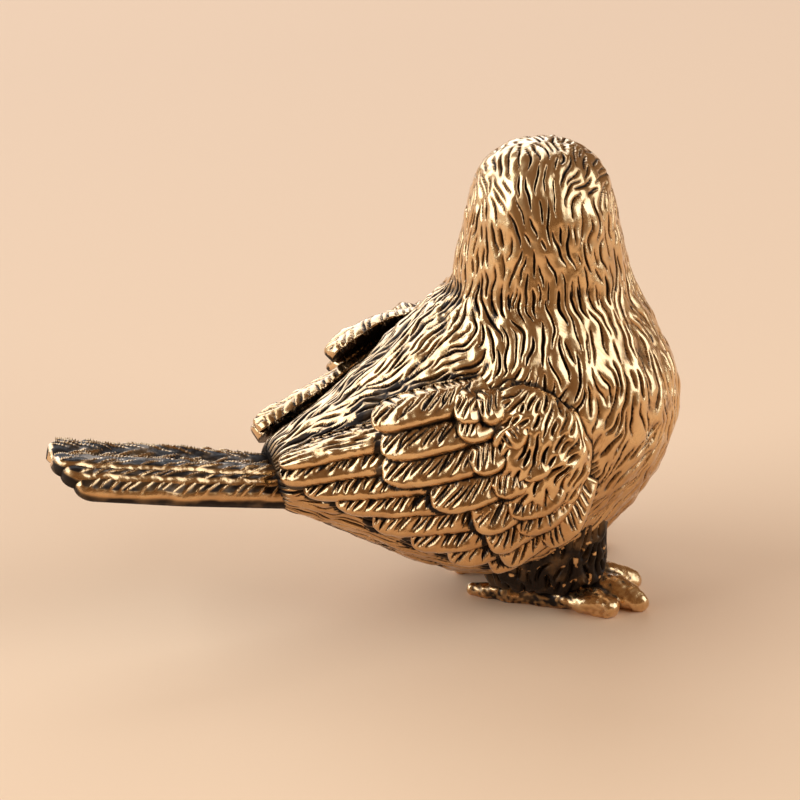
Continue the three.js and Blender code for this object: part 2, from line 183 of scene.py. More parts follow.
soft_box("key", -0.86, 0.5, -0.12, (1.0, 0.9), 11.5)
soft_box("side", 0.85, 0.48, -0.2, (0.9, 0.9), 7.0)
soft_box("back", -0.35, 0.5, 0.8, (1.2, 0.8), 9.0)
room = bpy.data.worlds.new("room")
room.use_nodes = True
room_light = room.node_tree.nodes["Background"].inputs
room_light["Color"].default_value = room_tint
room_light["Strength"].default_value = room_strength
bpy.context.scene.world = room


# Torso
# The body of the cast bird from the neck to the root of the tail. Its plumage was cut into the wax with a
# small gouge, in short strokes that follow the lie of the feathers. Dark patina stays in the strokes.
metre = 0.001
frame_shift = 14.935
breast_half_width = 12.2
back_points = [
    (-6.7, 29.0), (-7.2, 28.2), (-7.8, 27.6), (-8.5, 26.9), (-9.3, 26.2),
    (-10.3, 25.4), (-12.0, 24.0), (-15.0, 21.4), (-18.5, 18.6), (-23.5, 15.4),
]
belly_points = [
    (8.9, 29.0), (11.2, 24.6), (13.4, 18.9), (12.5, 13.0), (8.4, 7.0),
    (2.6, 2.8), (-4.6, 1.9), (-11.6, 4.0), (-17.3, 7.2), (-23.5, 10.2),
]
width_shares = [0.61, 0.75, 0.9, 0.98, 1.0, 0.99, 0.92, 0.72, 0.52, 0.37]
last_station = len(width_shares) - 1
up = np.array([0, 0, 1])


def lerp(low, high, t):
    return low + (high - low) * t


def smooth(low, high, value):
    t = np.clip((value - low) / (high - low), 0, 1)
    return t * t * (3 - 2 * t)


def unit(vectors):
    return vectors / np.maximum(np.linalg.norm(vectors, axis=-1, keepdims=True), 1e-12)


def spline(points, t):
    """A smooth curve through the points. t runs from 0 to 1 with an equal share for each stretch."""
    points = np.asarray(points, float).reshape(len(points), -1)
    at = np.clip(t, 0, 1) * (len(points) - 1)
    i = np.minimum(at.astype(int), len(points) - 2)
    w = (at - i)[..., None]
    before, first, second, after = (points[np.clip(i + k, 0, len(points) - 1)] for k in (-1, 0, 1, 2))
    leave, arrive = (second - before) / 2, (after - first) / 2
    cubic = 2 * first - 2 * second + leave + arrive
    square = -3 * first + 3 * second - 2 * leave - arrive
    return ((cubic * w + square) * w + leave) * w + first


def torso_point(station, angle):
    """Millimetres on the torso. The angle runs from the back down the bird's right side."""
    t = station / last_station
    back, belly = spline(back_points, t), spline(belly_points, t)
    rise = back - belly
    middle = (back + belly) / 2 + rise / 2 * np.cos(angle)[..., None]
    across = -spline(width_shares, t)[..., 0] * breast_half_width * np.sin(angle)
    return np.stack([middle[..., 0] + frame_shift, across, middle[..., 1]], axis=-1)


# Head shape, here because neck and nape are one skin with the torso
neck_centre = np.array([1.1 + frame_shift, 0, 29.3])
head_turn = math.radians(75)
head_height = 12.4
face_reach = 7.9
nape_reach = 7.4
cheek_half_width = 7.8
beak_height = 4.9
head_heights = [0, 0.2, 0.39, 0.59, 0.75, 0.87, 0.96, 1]
face_shares = [0.95, 0.99, 1, 0.925, 0.775, 0.59, 0.34, 0]
nape_shares = [1, 0.975, 0.935, 0.88, 0.775, 0.605, 0.355, 0]
cheek_shares = [1, 0.955, 0.88, 0.815, 0.725, 0.575, 0.345, 0]
face_way = np.array([math.cos(head_turn), math.sin(head_turn), 0])
left_way = np.array([-math.sin(head_turn), math.cos(head_turn), 0])


def head_point(t, angle, proud=0):
    """Millimetres on the head. t runs from neck to crown and the angle from the face round its left side."""
    ahead = np.cos(angle) >= 0
    face, nape, cheek = (spline(shares, t)[..., 0] for shares in (face_shares, nape_shares, cheek_shares))
    reach = np.where(ahead, face * face_reach, nape * nape_reach) + proud
    half = cheek * cheek_half_width + proud
    height = spline(head_heights, t)[..., 0] * head_height
    return (neck_centre
            + (reach * np.cos(angle))[..., None] * face_way
            + (half * np.sin(angle))[..., None] * left_way
            + height[..., None] * up)


# One skin from crown to rump: rows along it and columns round it, softened so that the neck has no step
skin_columns = 880
head_rows = 150
torso_rows = 360
round_back = np.arange(skin_columns) * 2 * math.pi / skin_columns
rows_down, columns_round = np.meshgrid(np.linspace(1, 0, head_rows), round_back, indexing="ij")
head_skin = head_point(rows_down, columns_round + math.pi - head_turn)
rows_down, columns_round = np.meshgrid(np.linspace(0, last_station, torso_rows), round_back, indexing="ij")
skin = np.concatenate([head_skin, torso_point(rows_down, columns_round)])
soft_reach = 32
soft_spread = 12
neck_soft_rows = 30
crown_soft_rows = (25, 5)
over_crown = np.roll(skin[1:soft_reach + 1], skin_columns // 2, axis=1)[::-1]
past_rump = np.repeat(skin[-1:], soft_reach, axis=0)
padded = np.concatenate([over_crown, skin, past_rump])
offsets = np.arange(-soft_reach, soft_reach + 1)
weights = np.exp(-(offsets / soft_spread) ** 2)
softened = sum(
    share * padded[soft_reach + k:soft_reach + k + len(skin)]
    for share, k in zip(weights / weights.sum(), offsets))
rows = np.arange(len(skin))
neck_softness = np.exp(-((rows - head_rows) / neck_soft_rows) ** 2)
soft_share = np.maximum(neck_softness, smooth(*crown_soft_rows, rows))
skin = lerp(skin, softened, soft_share[:, None, None])
skin_run = unit(np.gradient(skin, axis=0))
skin_round = unit(np.roll(skin, -1, axis=1) - np.roll(skin, 1, axis=1))
skin_round[0] = skin_round[1]
skin_out = unit(np.cross(skin_run, skin_round))

# The lie of the feathers: away from the beak over face and crown, and down and back everywhere else
chin_heights = (29.5, 33)
crown_heights = (36, 39.5)
beak_root = neck_centre + face_way * face_reach + up * beak_height
from_beak = skin - beak_root
from_beak = unit(from_beak - (from_beak * skin_out).sum(axis=-1, keepdims=True) * skin_out)
toward_face = ((skin - neck_centre) * face_way).sum(axis=-1) / face_reach
face_share = np.maximum(
    smooth(-0.5, 0.35, toward_face) * smooth(*chin_heights, skin[..., 2]),
    smooth(*crown_heights, skin[..., 2]))
lie = unit(lerp(skin_run, from_beak, face_share[..., None]))


def comb(points, normals, lies, gaps, reach, widths, depths, rounding, seed):
    """Gouge strokes along the lie of the feathers, kept apart by the gap that holds at each point, as rows of
    point, half width, depth and how far the ridges beside the stroke are rounded, in millimetres."""
    step = 0.12
    # Shares of the gap that a growing stroke keeps, and of the least reach that it must have
    closest, shortest = 0.62, 0.55
    chance = random.Random(seed)
    gaps = np.broadcast_to(gaps, points.shape[:-1]).ravel()
    cell = float(gaps.max())
    points, normals, lies = ([Vector(row) for row in rows.reshape(-1, 3)] for rows in (points, normals, lies))
    nearest = kdtree.KDTree(len(points))
    for i, point in enumerate(points):
        nearest.insert(point, i)
    nearest.balance()
    taken = {}

    def crowded(p, limit):
        home = [math.floor(value / cell) for value in p]
        for x in range(home[0] - 1, home[0] + 2):
            for y in range(home[1] - 1, home[1] + 2):
                for z in range(home[2] - 1, home[2] + 2):
                    for q in taken.get((x, y, z), ()):
                        if (q - p).length_squared < limit * limit:
                            return True
        return False

    def heading(p, i):
        sway = noise.noise(p * 0.36) * 0.8 + noise.noise(p * 1.1) * 0.5
        tuft = noise.voronoi(p * 0.38)[1][0]
        sway += noise.noise(tuft * 7.3) * 0.4
        return lies[i] * math.cos(sway) + normals[i].cross(lies[i]) * math.sin(sway)

    strokes = []
    for _ in range(len(points) // 3):
        i = chance.randrange(len(points))
        start = points[i].copy()
        if crowded(start, gaps[i]):
            continue
        half = chance.uniform(*reach) / 2
        path = [start]
        for way in (1, -1):
            p = start
            for _ in range(int(half / step)):
                i = nearest.find(p)[1]
                p = p + heading(p, i) * (way * step)
                i = nearest.find(p)[1]
                p = p - normals[i] * (p - points[i]).dot(normals[i])
                if crowded(p, gaps[i] * closest):
                    break
                path.insert(len(path) if way > 0 else 0, p)
        if len(path) * step < reach[0] * shortest:
            continue
        for p in path:
            taken.setdefault(tuple(math.floor(value / cell) for value in p), []).append(p)
        wide, deep = chance.uniform(*widths), chance.uniform(*depths)
        for k, p in enumerate(path):
            taper = (1 - abs(2 * (k + 0.5) / len(path) - 1) ** 2.5) ** 0.6
            strokes.append((*p, wide * taper, deep * taper, rounding * taper))
    return np.array(strokes)


def bumps(points, *waves):
    """Smooth noise at the points, the sum of waves that are each a frequency and a height."""
    return np.array([
        sum(noise.noise(Vector(point) * frequency) * height for frequency, height in waves)
        for point in points])


def gouged(points, strokes):
    """The depth of the strokes at the points, in millimetres, and how dark the patina lies there. Beside a
    stroke its ridges are rounded off and tarnished."""
    tree = kdtree.KDTree(len(strokes))
    for i, stroke in enumerate(strokes):
        tree.insert(stroke[:3], i)
    tree.balance()
    found = [tree.find_n(point, 3) for point in points]
    index = np.array([[hit[1] for hit in hits] for hits in found])
    distance = np.array([[hit[2] for hit in hits] for hits in found])
    width, depth, rounding = np.moveaxis(strokes[index, 3:], -1, 0)
    wall = 1 - smooth(0.3, 1.5, distance / np.maximum(width, 0.02))
    shadow = 1 - smooth(1.0, 1.7, distance / np.maximum(width, 0.02))
    slope = rounding * np.exp(-(distance / 0.3) ** 2)
    darkening = 0.4 * np.exp(-(distance / 0.16) ** 2)
    dark = np.maximum(shadow, darkening) * np.minimum(1, width / 0.05)
    return (wall * depth + slope).max(axis=1), dark.max(axis=1)


def close_ends(points, along):
    for end in (0, 1):
        points[along == end] = points[along == end].mean(axis=0)


def lofted(columns, rows, place):
    """A closed skin rolled from a grid. place() takes the shares round and along, and gives the millimetres
    and the patina and painted shade of each point. An end whose points meet closes by itself, and an open one
    gets a face."""
    shape = bmesh.new()
    bmesh.ops.create_grid(shape, x_segments=columns, y_segments=rows, size=0.5)
    mesh = bpy.data.meshes.new("loft")
    shape.to_mesh(mesh)
    at = np.empty(len(mesh.vertices) * 3, np.float32)
    mesh.vertices.foreach_get("co", at)
    at = at.reshape(-1, 3).astype(float)
    points, patina_and_shade = place(at[:, 0] + 0.5, at[:, 1] + 0.5)
    mesh.vertices.foreach_set("co", (points * metre).astype(np.float32).ravel())
    mesh.attributes.new("patina_and_shade", "FLOAT", "POINT").data.foreach_set("value", patina_and_shade.astype(np.float32))
    shape.clear()
    shape.from_mesh(mesh)
    bpy.data.meshes.remove(mesh)
    bmesh.ops.remove_doubles(shape, verts=shape.verts, dist=5e-8)
    bmesh.ops.holes_fill(shape, edges=[edge for edge in shape.edges if edge.is_boundary], sides=0)
    bmesh.ops.recalc_face_normals(shape, faces=shape.faces)
    return shape


def finished(name, shapes, material, slot, *nodes):
    """One piece from the shapes, which stands for the nodes."""
    whole = bmesh.new()
    for shape in shapes:
        part = bpy.data.meshes.new("part")
        shape.to_mesh(part)
        shape.free()
        whole.from_mesh(part)
        bpy.data.meshes.remove(part)
    mesh = bpy.data.meshes.new(name)
    whole.to_mesh(mesh)
    whole.free()
    mesh.polygons.foreach_set("use_smooth", [True] * len(mesh.polygons))
    mesh.materials.append(material)
    piece = add_object(name, mesh)
    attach(piece, "root")
    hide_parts(*nodes)
    return piece


# Antiqued brass: polished on the ridges, brown where it is half rubbed and almost black in the recesses, and
# dark as well where shade is painted in with the patina
ridge_colour = (0.84, 0.57, 0.28, 1)
worn_colour = (0.54, 0.3, 0.115, 1)
recess_colour = (0.016, 0.008, 0.004, 1)


def antique_brass(name, polish):
    material, start = new_finish(name)
    place = start.node("ShaderNodeTexCoord", output="Object")
    # This attribute holds the real patina and the painted shade laid on the pieces
    patina_and_shade = start.node("ShaderNodeAttribute", {"attribute_name": "patina_and_shade"}, None, "Fac")
    cloud = start.node("ShaderNodeTexNoise", None, {"Vector": place, "Scale": 350, "Detail": 3})
    grain = start.node("ShaderNodeTexNoise", None, {"Vector": place, "Scale": 4200, "Detail": 4})
    pit = start.node("ShaderNodeTexNoise", None, {"Vector": place, "Scale": 1500, "Detail": 3})
    darkening = patina_and_shade + (cloud - 0.5) * 0.5 * (patina_and_shade + 0.3)
    metal = (darkening * 2 + (cloud - 0.35) * 1.2).clamped().blend(ridge_colour, worn_colour)
    dark = (darkening * 2 - 1).clamped()
    relief = grain * 0.3 + pit * 0.7
    bump = start.node("ShaderNodeBump", None, {"Height": relief, "Strength": 0.6, "Distance": 0.00008})
    shader = start.node("ShaderNodeBsdfPrincipled", None, {
        "Base Color": dark.blend(metal, recess_colour),
        "Metallic": 1 - dark * 0.35,
        "Roughness": polish + dark * 0.3 + (cloud - 0.5) * 0.15,
        "Coat Weight": 0.8 - dark * 0.8,
        "Coat Roughness": 0.15,
        "Coat IOR": 1.6,
        "Normal": bump,
    })
    start.node("ShaderNodeOutputMaterial", None, {"Surface": shader})
    return material


plumage_brass = antique_brass("plumage_brass", 0.28)
torso_gaps = lerp(0.6, 0.47, smooth(2.5, 4.5, rows_down))
head_strokes = comb(
    skin[:head_rows:2, ::4], skin_out[:head_rows:2, ::4], lie[:head_rows:2, ::4], gaps=0.56, reach=(1.6, 4.6),
    widths=(0.06, 0.12), depths=(0.2, 0.3), rounding=0.07, seed=11)
torso_strokes = comb(
    skin[head_rows::2, ::4], skin_out[head_rows::2, ::4], lie[head_rows::2, ::4], torso_gaps[::2, ::4],
    reach=(2.4, 7.0), widths=(0.06, 0.13), depths=(0.28, 0.42), rounding=0.11, seed=12)
plumage_strokes = np.concatenate([head_strokes, torso_strokes])
neck_row = head_rows - 1
head_furrow = 0.12
torso_furrow = 0.2
torso_tufts = 24
head_tufts = 16
torso_rings = 24
head_rings = 11
tuft_waver = 0.8


def tufts(row, column):
    """How far the skin lies below the crests of its tufts, which waver in columns down head and torso."""
    on_head = row < head_rows
    head_ring = (1 - row / neck_row) * head_rings
    torso_ring = (row - head_rows) / (torso_rows - 1) * torso_rings
    ring = np.maximum(np.where(on_head, head_ring, torso_ring), 0)
    rings = np.where(on_head, head_rings, torso_rings)
    count = np.where(on_head, head_tufts, torso_tufts)
    turn = round_back[column] + np.where(on_head, math.pi - head_turn, 0)
    place = turn * count / math.pi - np.sin(ring * tuft_waver) / 2
    fade = np.minimum(1, np.minimum(ring / 2, (rings - ring) / 5))
    swell = (1 - np.cos(math.pi * (ring + np.rint(place / 2) * 2) / 2)) / 6
    depth = np.where(on_head, head_furrow, torso_furrow)
    return depth * fade * np.maximum((1 - np.cos(math.pi * place)) / 2, swell)


def low_painted_shade(points):
    """Painted shade: the patina grows darker towards the bottom, standing in for the dimmer light and
    reflections low down.
    """
    return 0.35 * smooth(20, 10, points[..., 2]) + 0.25 * smooth(10, 2, points[..., 2])


def skin_at(row, column, sunk=0):
    """Millimetres and patina on the engraved skin, with painted shade darker low down, at a row of it that
    may lie between two.
    """
    low = np.minimum(row.astype(int), len(skin) - 2)
    share = (row - low)[:, None]
    base = lerp(skin[low, column], skin[low + 1, column], share)
    out = unit(lerp(skin_out[low, column], skin_out[low + 1, column], share))
    depth, patina_and_shade = gouged(base, plumage_strokes)
    swell = bumps(base, (0.33, 0.2), (0.8, 0.12)) * np.where(row < head_rows, 0.8, 1)
    # Painted shade, darker towards the bottom
    patina_and_shade = np.maximum(patina_and_shade, low_painted_shade(base))
    return base + out * (swell - depth - sunk - tufts(row, column))[:, None], patina_and_shade


rump_end = skin[-1].mean(axis=0)


def skin_shape(first_row, last_row, lines):
    """A closed length of the skin. It runs on a little inside its neighbours at both ends."""
    overlap_lines = 3
    overlap_sink = 0.012
    closing_rows = 14

    def place(round_share, along):
        column = np.rint(round_share * skin_columns).astype(int) % skin_columns
        line = np.rint(along * (lines + 2 * overlap_lines + 2)) - overlap_lines - 1
        overlap = np.clip(np.maximum(-line, line - lines), 0, overlap_lines)
        row = first_row + np.clip(line, 0, lines) * (last_row - first_row) / lines
        row = np.clip(row + np.sign(line) * overlap, 0, len(skin) - 1)
        points, patina_and_shade = skin_at(row, column, overlap_sink * overlap ** 2)
        closing = smooth(len(skin) - closing_rows, len(skin), row + overlap)
        points = lerp(points, rump_end, 0.25 * closing[:, None] ** 2)
        patina_and_shade = np.maximum(patina_and_shade, closing)
        close_ends(points, along)
        return points, patina_and_shade

    return lofted(skin_columns, lines + 2 * overlap_lines + 2, place)


skin_lines = 104
torso_bands = np.linspace(neck_row, len(skin) - 1, 4).astype(int)
torso_skins = []
for name, first_row, last_row in zip(("breast", "belly", "rump"), torso_bands, torso_bands[1:]):
    band = skin_shape(first_row, last_row, skin_lines)
    torso_skins.append(finished(f"{name}_plumage", [band], plumage_brass, "plumage", "torso"))


# Head
# Turned over the bird's left shoulder, and one casting with the body: the strokes of the nape run on down
# the neck without a joint.
head_shape = skin_shape(0, neck_row, skin_lines)
finished("head_plumage", [head_shape], plumage_brass, "plumage", "head")


# Beak
# A short seed-eater's beak in two halves, cast solid with the face and filed smooth, with a nostril pressed
# into each side of the upper half.
beak_length = 4.7
beak_half_width = 1.6
upper_beak_depth = 1.7
lower_beak_depth = 1.2
beak_droop = 0.8
parting = 0.12
nostril_along = 0.62
nostril_aside = 0.62
smooth_brass = antique_brass("smooth_brass", 0.26)


def beak_half(depth):
    columns, lines = 48, 40
    flat_share, sunk_share = 0.25, 0.5

    def place(round_share, along):
        t = np.clip(along * 1.04 - 0.02, 0, 1)
        size = np.maximum(0, 1 - t ** 2.1)
        reach = lerp(face_reach * sunk_share, face_reach + beak_length, t)
        under = round_share > 1 - flat_share
        angle = np.pi * np.minimum(1, round_share / (1 - flat_share))
        across = np.where(under, lerp(-1, 1, (round_share - 1 + flat_share) / flat_share), np.cos(angle))
        lift = np.where(under, 0, np.sin(angle) ** 0.85)
        ridge = 1 + 0.08 * np.exp(-(across / 0.25) ** 2)
        from_nostril = ((t - nostril_along) / 0.045) ** 2 + ((np.abs(across) - nostril_aside) / 0.16) ** 2
        nostril = np.exp(-from_nostril) * (depth > 0)
        size_up = depth * size * lift * ridge * (1 - 0.3 * nostril)
        height = beak_height - beak_droop * t ** 2 + np.sign(depth) * parting / 2 + size_up
        closed = (along <= 0) | (along >= 1)
        across = np.where(closed, 0, across)
        height = np.where(closed, beak_height - beak_droop * t ** 2 + depth * size * 0.3, height)
        points = (neck_centre + reach[:, None] * face_way
                  + (beak_half_width * size * across)[:, None] * left_way
                  + height[:, None] * up)
        return points, np.clip(nostril * 1.4 + under * 0.8 + smooth(0.56, 0.5, t) * 0.7, 0, 1)

    return lofted(columns, lines, place)


for name, depth in (("upper_beak", upper_beak_depth), ("lower_beak", -lower_beak_depth)):
    finished(f"{name}_filed", [beak_half(depth)], smooth_brass, "beak_and_feet", name)


# Eyes
# A polished bead of brass in a raised ring, one on each side of the head and cast with it. The ring keeps
# some patina, which sets the bright bead off.
eye_radius = 1.0
eye_height = 6.0
eye_angle = math.radians(50)
eye_proud = 0.25
lid_radius = 1.05
lid_thickness = 0.17
lid_rise = 0.45
lid_patina = 0.7
for side, name in ((1, "left"), (-1, "right")):
    t = np.array([eye_height / head_height])
    angle = np.array([side * eye_angle])
    centre = Vector(head_point(t, angle, eye_proud - eye_radius)[0])
    outward = (Vector(head_point(t, angle, 3)[0]) - Vector(head_point(t, angle, 0)[0])).normalized()
    turn = outward.to_track_quat("Z", "Y").to_matrix().to_4x4()
    eye = bmesh.new()
    bmesh.ops.create_uvsphere(eye, u_segments=64, v_segments=40, radius=eye_radius)
    ring = bmesh.new()
    bmesh.ops.create_circle(ring, segments=20, radius=lid_thickness)
    upright = Vector((0, 1, 0)).rotation_difference(Vector((0, 0, 1))).to_matrix()
    bmesh.ops.rotate(ring, verts=ring.verts, matrix=upright)
    bmesh.ops.translate(ring, verts=ring.verts, vec=(lid_radius, 0, eye_radius * lid_rise))
    bmesh.ops.spin(
        ring, geom=ring.verts[:] + ring.edges[:], cent=(0, 0, 0), axis=(0, 0, 1),
        angle=2 * math.pi, steps=64, use_merge=True)
    bmesh.ops.recalc_face_normals(ring, faces=ring.faces)
    for part, dark in ((eye, 0.0), (ring, lid_patina)):
        layer = part.verts.layers.float.new("patina_and_shade")
        for vert in part.verts:
            vert[layer] = dark
        bmesh.ops.transform(part, verts=part.verts, matrix=turn)
        bmesh.ops.translate(part, verts=part.verts, vec=centre)
        bmesh.ops.scale(part, verts=part.verts, vec=(metre, metre, metre))
    finished(f"{name}_eye_bead", [eye, ring], smooth_brass, "eyes", f"{name}_eye")


# Wing feathers
# Each folded wing is cast with the body: a pad of small shoulder feathers, a row of rounded coverts and the
# long flight feathers, laid over each other like tiles. Each feather has a smooth rim and cuts for its barbs.
feather_brass = antique_brass("feather_brass", 0.27)
feather_root_share = 0.8
rim_width = 0.85
rim_drop = 0.85
smooth_rim = 0.7
tuck = 0.9
thinnest = 0.15
column_bunching = 1.35
row_bunching = 1.3


def flank(station, angle):
    """A point on the torso, the way out of it, and the ways back along it and down round it."""
    small = 0.01
    back = torso_point(station + small, angle) - torso_point(station - small, angle)
    down = torso_point(station, angle + small) - torso_point(station, angle - small)
    return torso_point(station, angle), unit(np.cross(back, down)), back, down


def flank_course(root, tip):
    """A way over the right flank between two places, each a torso station and an angle in degrees."""

    def course(t):
        point, normal, back, down = flank(lerp(root[0], tip[0], t), np.radians(lerp(root[1], tip[1], t)))
        along = unit(back * (tip[0] - root[0]) + down * math.radians(tip[1] - root[1]))
        return point, normal, unit(np.cross(normal, along))

    return course


def course_length(course):
    root, tip = course(np.array([0.0, 1.0]))[0]
    return float(np.linalg.norm(tip - root))


def stroke(path, wide, deep):
    """A tapered cut along a path of places on a vane, as rows of along, across, half width and depth."""
    s = np.linspace(0, 1, len(path))
    taper = (1 - np.abs(2 * s - 1) ** 2.2) ** 0.65
    return np.column_stack([path, wide * taper, deep * taper])


def edge_cuts(length, half, chance):
    """Slanting cuts over the upper edge of a vane and down its side."""
    cuts = []
    s = np.linspace(0, 1, 20)
    x = 0.5
    while x < length - 0.4:
        y = lerp(-half * 0.35, -half - chance.uniform(1.2, 2.0), s)
        path = np.column_stack([x + (-half * 0.35 - y) * chance.uniform(0.6, 1.1), y])
        cuts.append(stroke(path, chance.uniform(0.08, 0.11), chance.uniform(0.3, 0.45)))
        x += chance.uniform(0.55, 0.85)
    return cuts


def barb_cuts(length, half, first_cut, slant, chance):
    """Slanting cuts across a vane, short of its smooth rim."""
    cuts = []
    s = np.linspace(0, 1, 20)
    x = first_cut
    while x < length - 0.6:
        lean = chance.uniform(0.6, 1.1) * slant
        top = -half * chance.uniform(0.3, 0.6)
        y = lerp(top, half - smooth_rim - chance.uniform(0, 0.5), s)
        bend = chance.uniform(-0.1, 0.25) * np.sin(math.pi * s)
        path = np.column_stack([x + (y - top) * lean + bend, y])
        cuts.append(stroke(path, chance.uniform(0.07, 0.1), chance.uniform(0.22, 0.36)))
        x += chance.uniform(0.42, 0.7)
    return np.concatenate(cuts + edge_cuts(length, half, chance))


def long_cuts(length, half, chance):
    """Lines that run along a vane."""
    cuts = []
    s = np.linspace(0, 1, 30)
    for y in np.arange(-half - 0.8, half - smooth_rim, 0.48):
        x = chance.uniform(0.3, 2)
        while x < length - 1.5:
            reach = chance.uniform(1.5, 4)
            path = np.column_stack([x + reach * s, y + chance.uniform(-0.2, 0.2) * s])
            cuts.append(stroke(path, chance.uniform(0.08, 0.13), chance.uniform(0.2, 0.32)))
            x += reach + chance.uniform(0.2, 0.8)
    return np.concatenate(cuts + edge_cuts(length, half, chance))


def feather(spec, course, cuts, mirror):
    """A blade with a rounded tip and rim, cut across its vane, or with raised barbs in patina. Round its
    section come the top, the underside, and the wall that rises to the upper edge."""
    top_columns, wall_columns = spec["columns"], spec["wall_columns"]
    columns = top_columns + wall_columns + 2
    length = course_length(course)

    def place(round_share, along):
        column = np.rint(round_share * columns)
        on_top = column <= top_columns
        on_wall = column > top_columns + 2
        v = np.where(on_top, 2 * column / top_columns - 1, np.where(column == top_columns + 1, 1, -1))
        v = np.sin(v * column_bunching) / math.sin(column_bunching)
        t = 1 - (1 - along) ** row_bunching
        point, normal, sideways = course(t)
        past_shoulder = np.maximum(0, t - spec["shoulder"]) / (1 - spec["shoulder"])
        tip = np.clip(1 - past_shoulder ** 2.5, 0, 1) ** 0.4
        half = spec["width"] / 2 * lerp(feather_root_share, 1, np.minimum(1, t * 2)) * tip
        crest = lerp(spec["root_top"], spec["tip_top"], np.minimum(1, t / spec["rise"]))
        crest = crest + (spec["roll"] * v - spec["camber"] * v * v) * tip
        edge = np.minimum(half * (1 - np.abs(v)), (1 - t) * length)
        rounding = np.sqrt(1 - (1 - np.clip(edge / rim_width, 0, 1)) ** 2)
        bottom = lerp(-tuck, spec["tip_bottom"], t)
        top = np.maximum(crest - rim_drop * (1 - rounding), bottom + thinnest)
        wall = np.clip((columns - column) / wall_columns, 0, 1) * on_wall * (top - bottom)
        across = v * half - wall
        away = np.hypot((t * length)[:, None] - cuts[:, 0], across[:, None] - cuts[:, 1])
        ratio = away / np.maximum(cuts[:, 2], 0.02)
        rim, skirt = spec["rim"], spec["skirt"]
        inside = np.where(across < 0, smooth(0.1, 0.3, (1 - t) * length), smooth(rim, rim * 2, edge))
        depths = (1 - smooth(0.3, 1.4, ratio) + skirt * np.exp(-(away / 0.22) ** 2)) * cuts[:, 3]
        shades = np.maximum(1 - smooth(1.0, 1.9, ratio), skirt * 0.9 * np.exp(-(away / 0.2) ** 2))
        cut, shadow = depths.max(axis=1) * inside, shades.max(axis=1) * inside
        swell = bumps(point + sideways * (v * half)[:, None], (0.7, 0.2), (1.9, 0.06))
        # Painted shadow along the lower edge of each feather's top, where it overhangs the next
        painted_edge_shadow = smooth(0.2, 0.0, edge) * (v > 0)
        if spec["raised"]:
            cut, shadow = -cut, inside - shadow
        height = np.where(on_top, top + swell - cut, np.where(on_wall, top + swell - wall, bottom))
        inward = np.where(on_wall | (column == 0), cut * 0.8, 0) * (t < 0.97)
        points = point + sideways * (v * half + inward)[:, None] + normal * height[:, None]
        points[:, 1] *= mirror
        # Besides the cut patina: painted shade on the hidden underside, deeper down the wall under the
        # feather above, and low down
        patina_and_shade = np.where(on_top, np.maximum(shadow, painted_edge_shadow), np.where(on_wall, shadow, 1))
        painted_wall_shade = on_wall * smooth(0.8, 1.7, wall)
        return points, np.maximum(np.maximum(patina_and_shade, low_painted_shade(point)), painted_wall_shade)

    return lofted(columns, spec["rows"], place)


# Root and tip of each feather: a torso station and an angle in degrees from the middle of the back
flight_courses = [
    ((4.6, 52), (8.9, 47)), ((4.8, 62), (8.95, 61)), ((4.9, 71), (8.6, 77)), ((5.0, 80), (8.2, 89)),
    ((5.0, 88), (7.6, 100)), ((5.0, 96), (7.0, 107)), ((4.9, 103), (6.5, 113)), ((4.8, 109), (6.0, 118)),
]
covert_courses = [
    ((3.9, 46), (7.1, 42)), ((4.1, 57), (7.1, 55)), ((4.2, 68), (7.2, 67)), ((4.2, 78), (6.5, 80)),
    ((4.3, 87), (6.0, 92)), ((4.4, 95), (5.9, 102)), ((4.5, 103), (5.8, 110)),
]
# Each row of scales: uppermost and lowest tip, length in stations, and number of scales
shoulder_rows = [
    ((5.5, 49), (5.5, 101), 1.35, 6), ((4.85, 53), (5.15, 105), 1.25, 5),
]
# A feather's top is root_top and, from the share rise of its length on, tip_top above the torso, in
# millimetres. From the share shoulder on it narrows. Roll and camber bend it, rim is its smooth edge, and
# skirt rounds the edges of its cuts. The uppermost feathers of a layer are lifted.
vane = {
    "roll": 0.78, "camber": 0.55, "rim": 0.25, "skirt": 0.5, "wall_columns": 6, "raised": False,
    "first_cut": 0.5, "slant": 1, "tip_bottom": 0.0,
}
flight_spec = dict(
    vane, width=3.2, root_top=0.4, tip_top=1.65, rise=0.8, shoulder=0.85, lift=0.1, columns=34, rows=230)
covert_spec = dict(
    vane, width=3.7, root_top=0.2, tip_top=2.35, rise=0.8, shoulder=0.82, lift=0.4, columns=38, rows=190,
    first_cut=1.2)
scale_spec = dict(
    vane, width=3.6, root_top=0.3, tip_top=2.15, rise=0.6, shoulder=0.65, lift=0, tip_bottom=-0.6,
    columns=32, rows=64, slant=0.7)
free_thickness = 1.3
free_wall_columns = 20
mound_place = (4.3, 80)
mound_reach = (1.45, 30)
mound_height = 2.3
mound_sink = 0.45
mound_top_share = 0.88


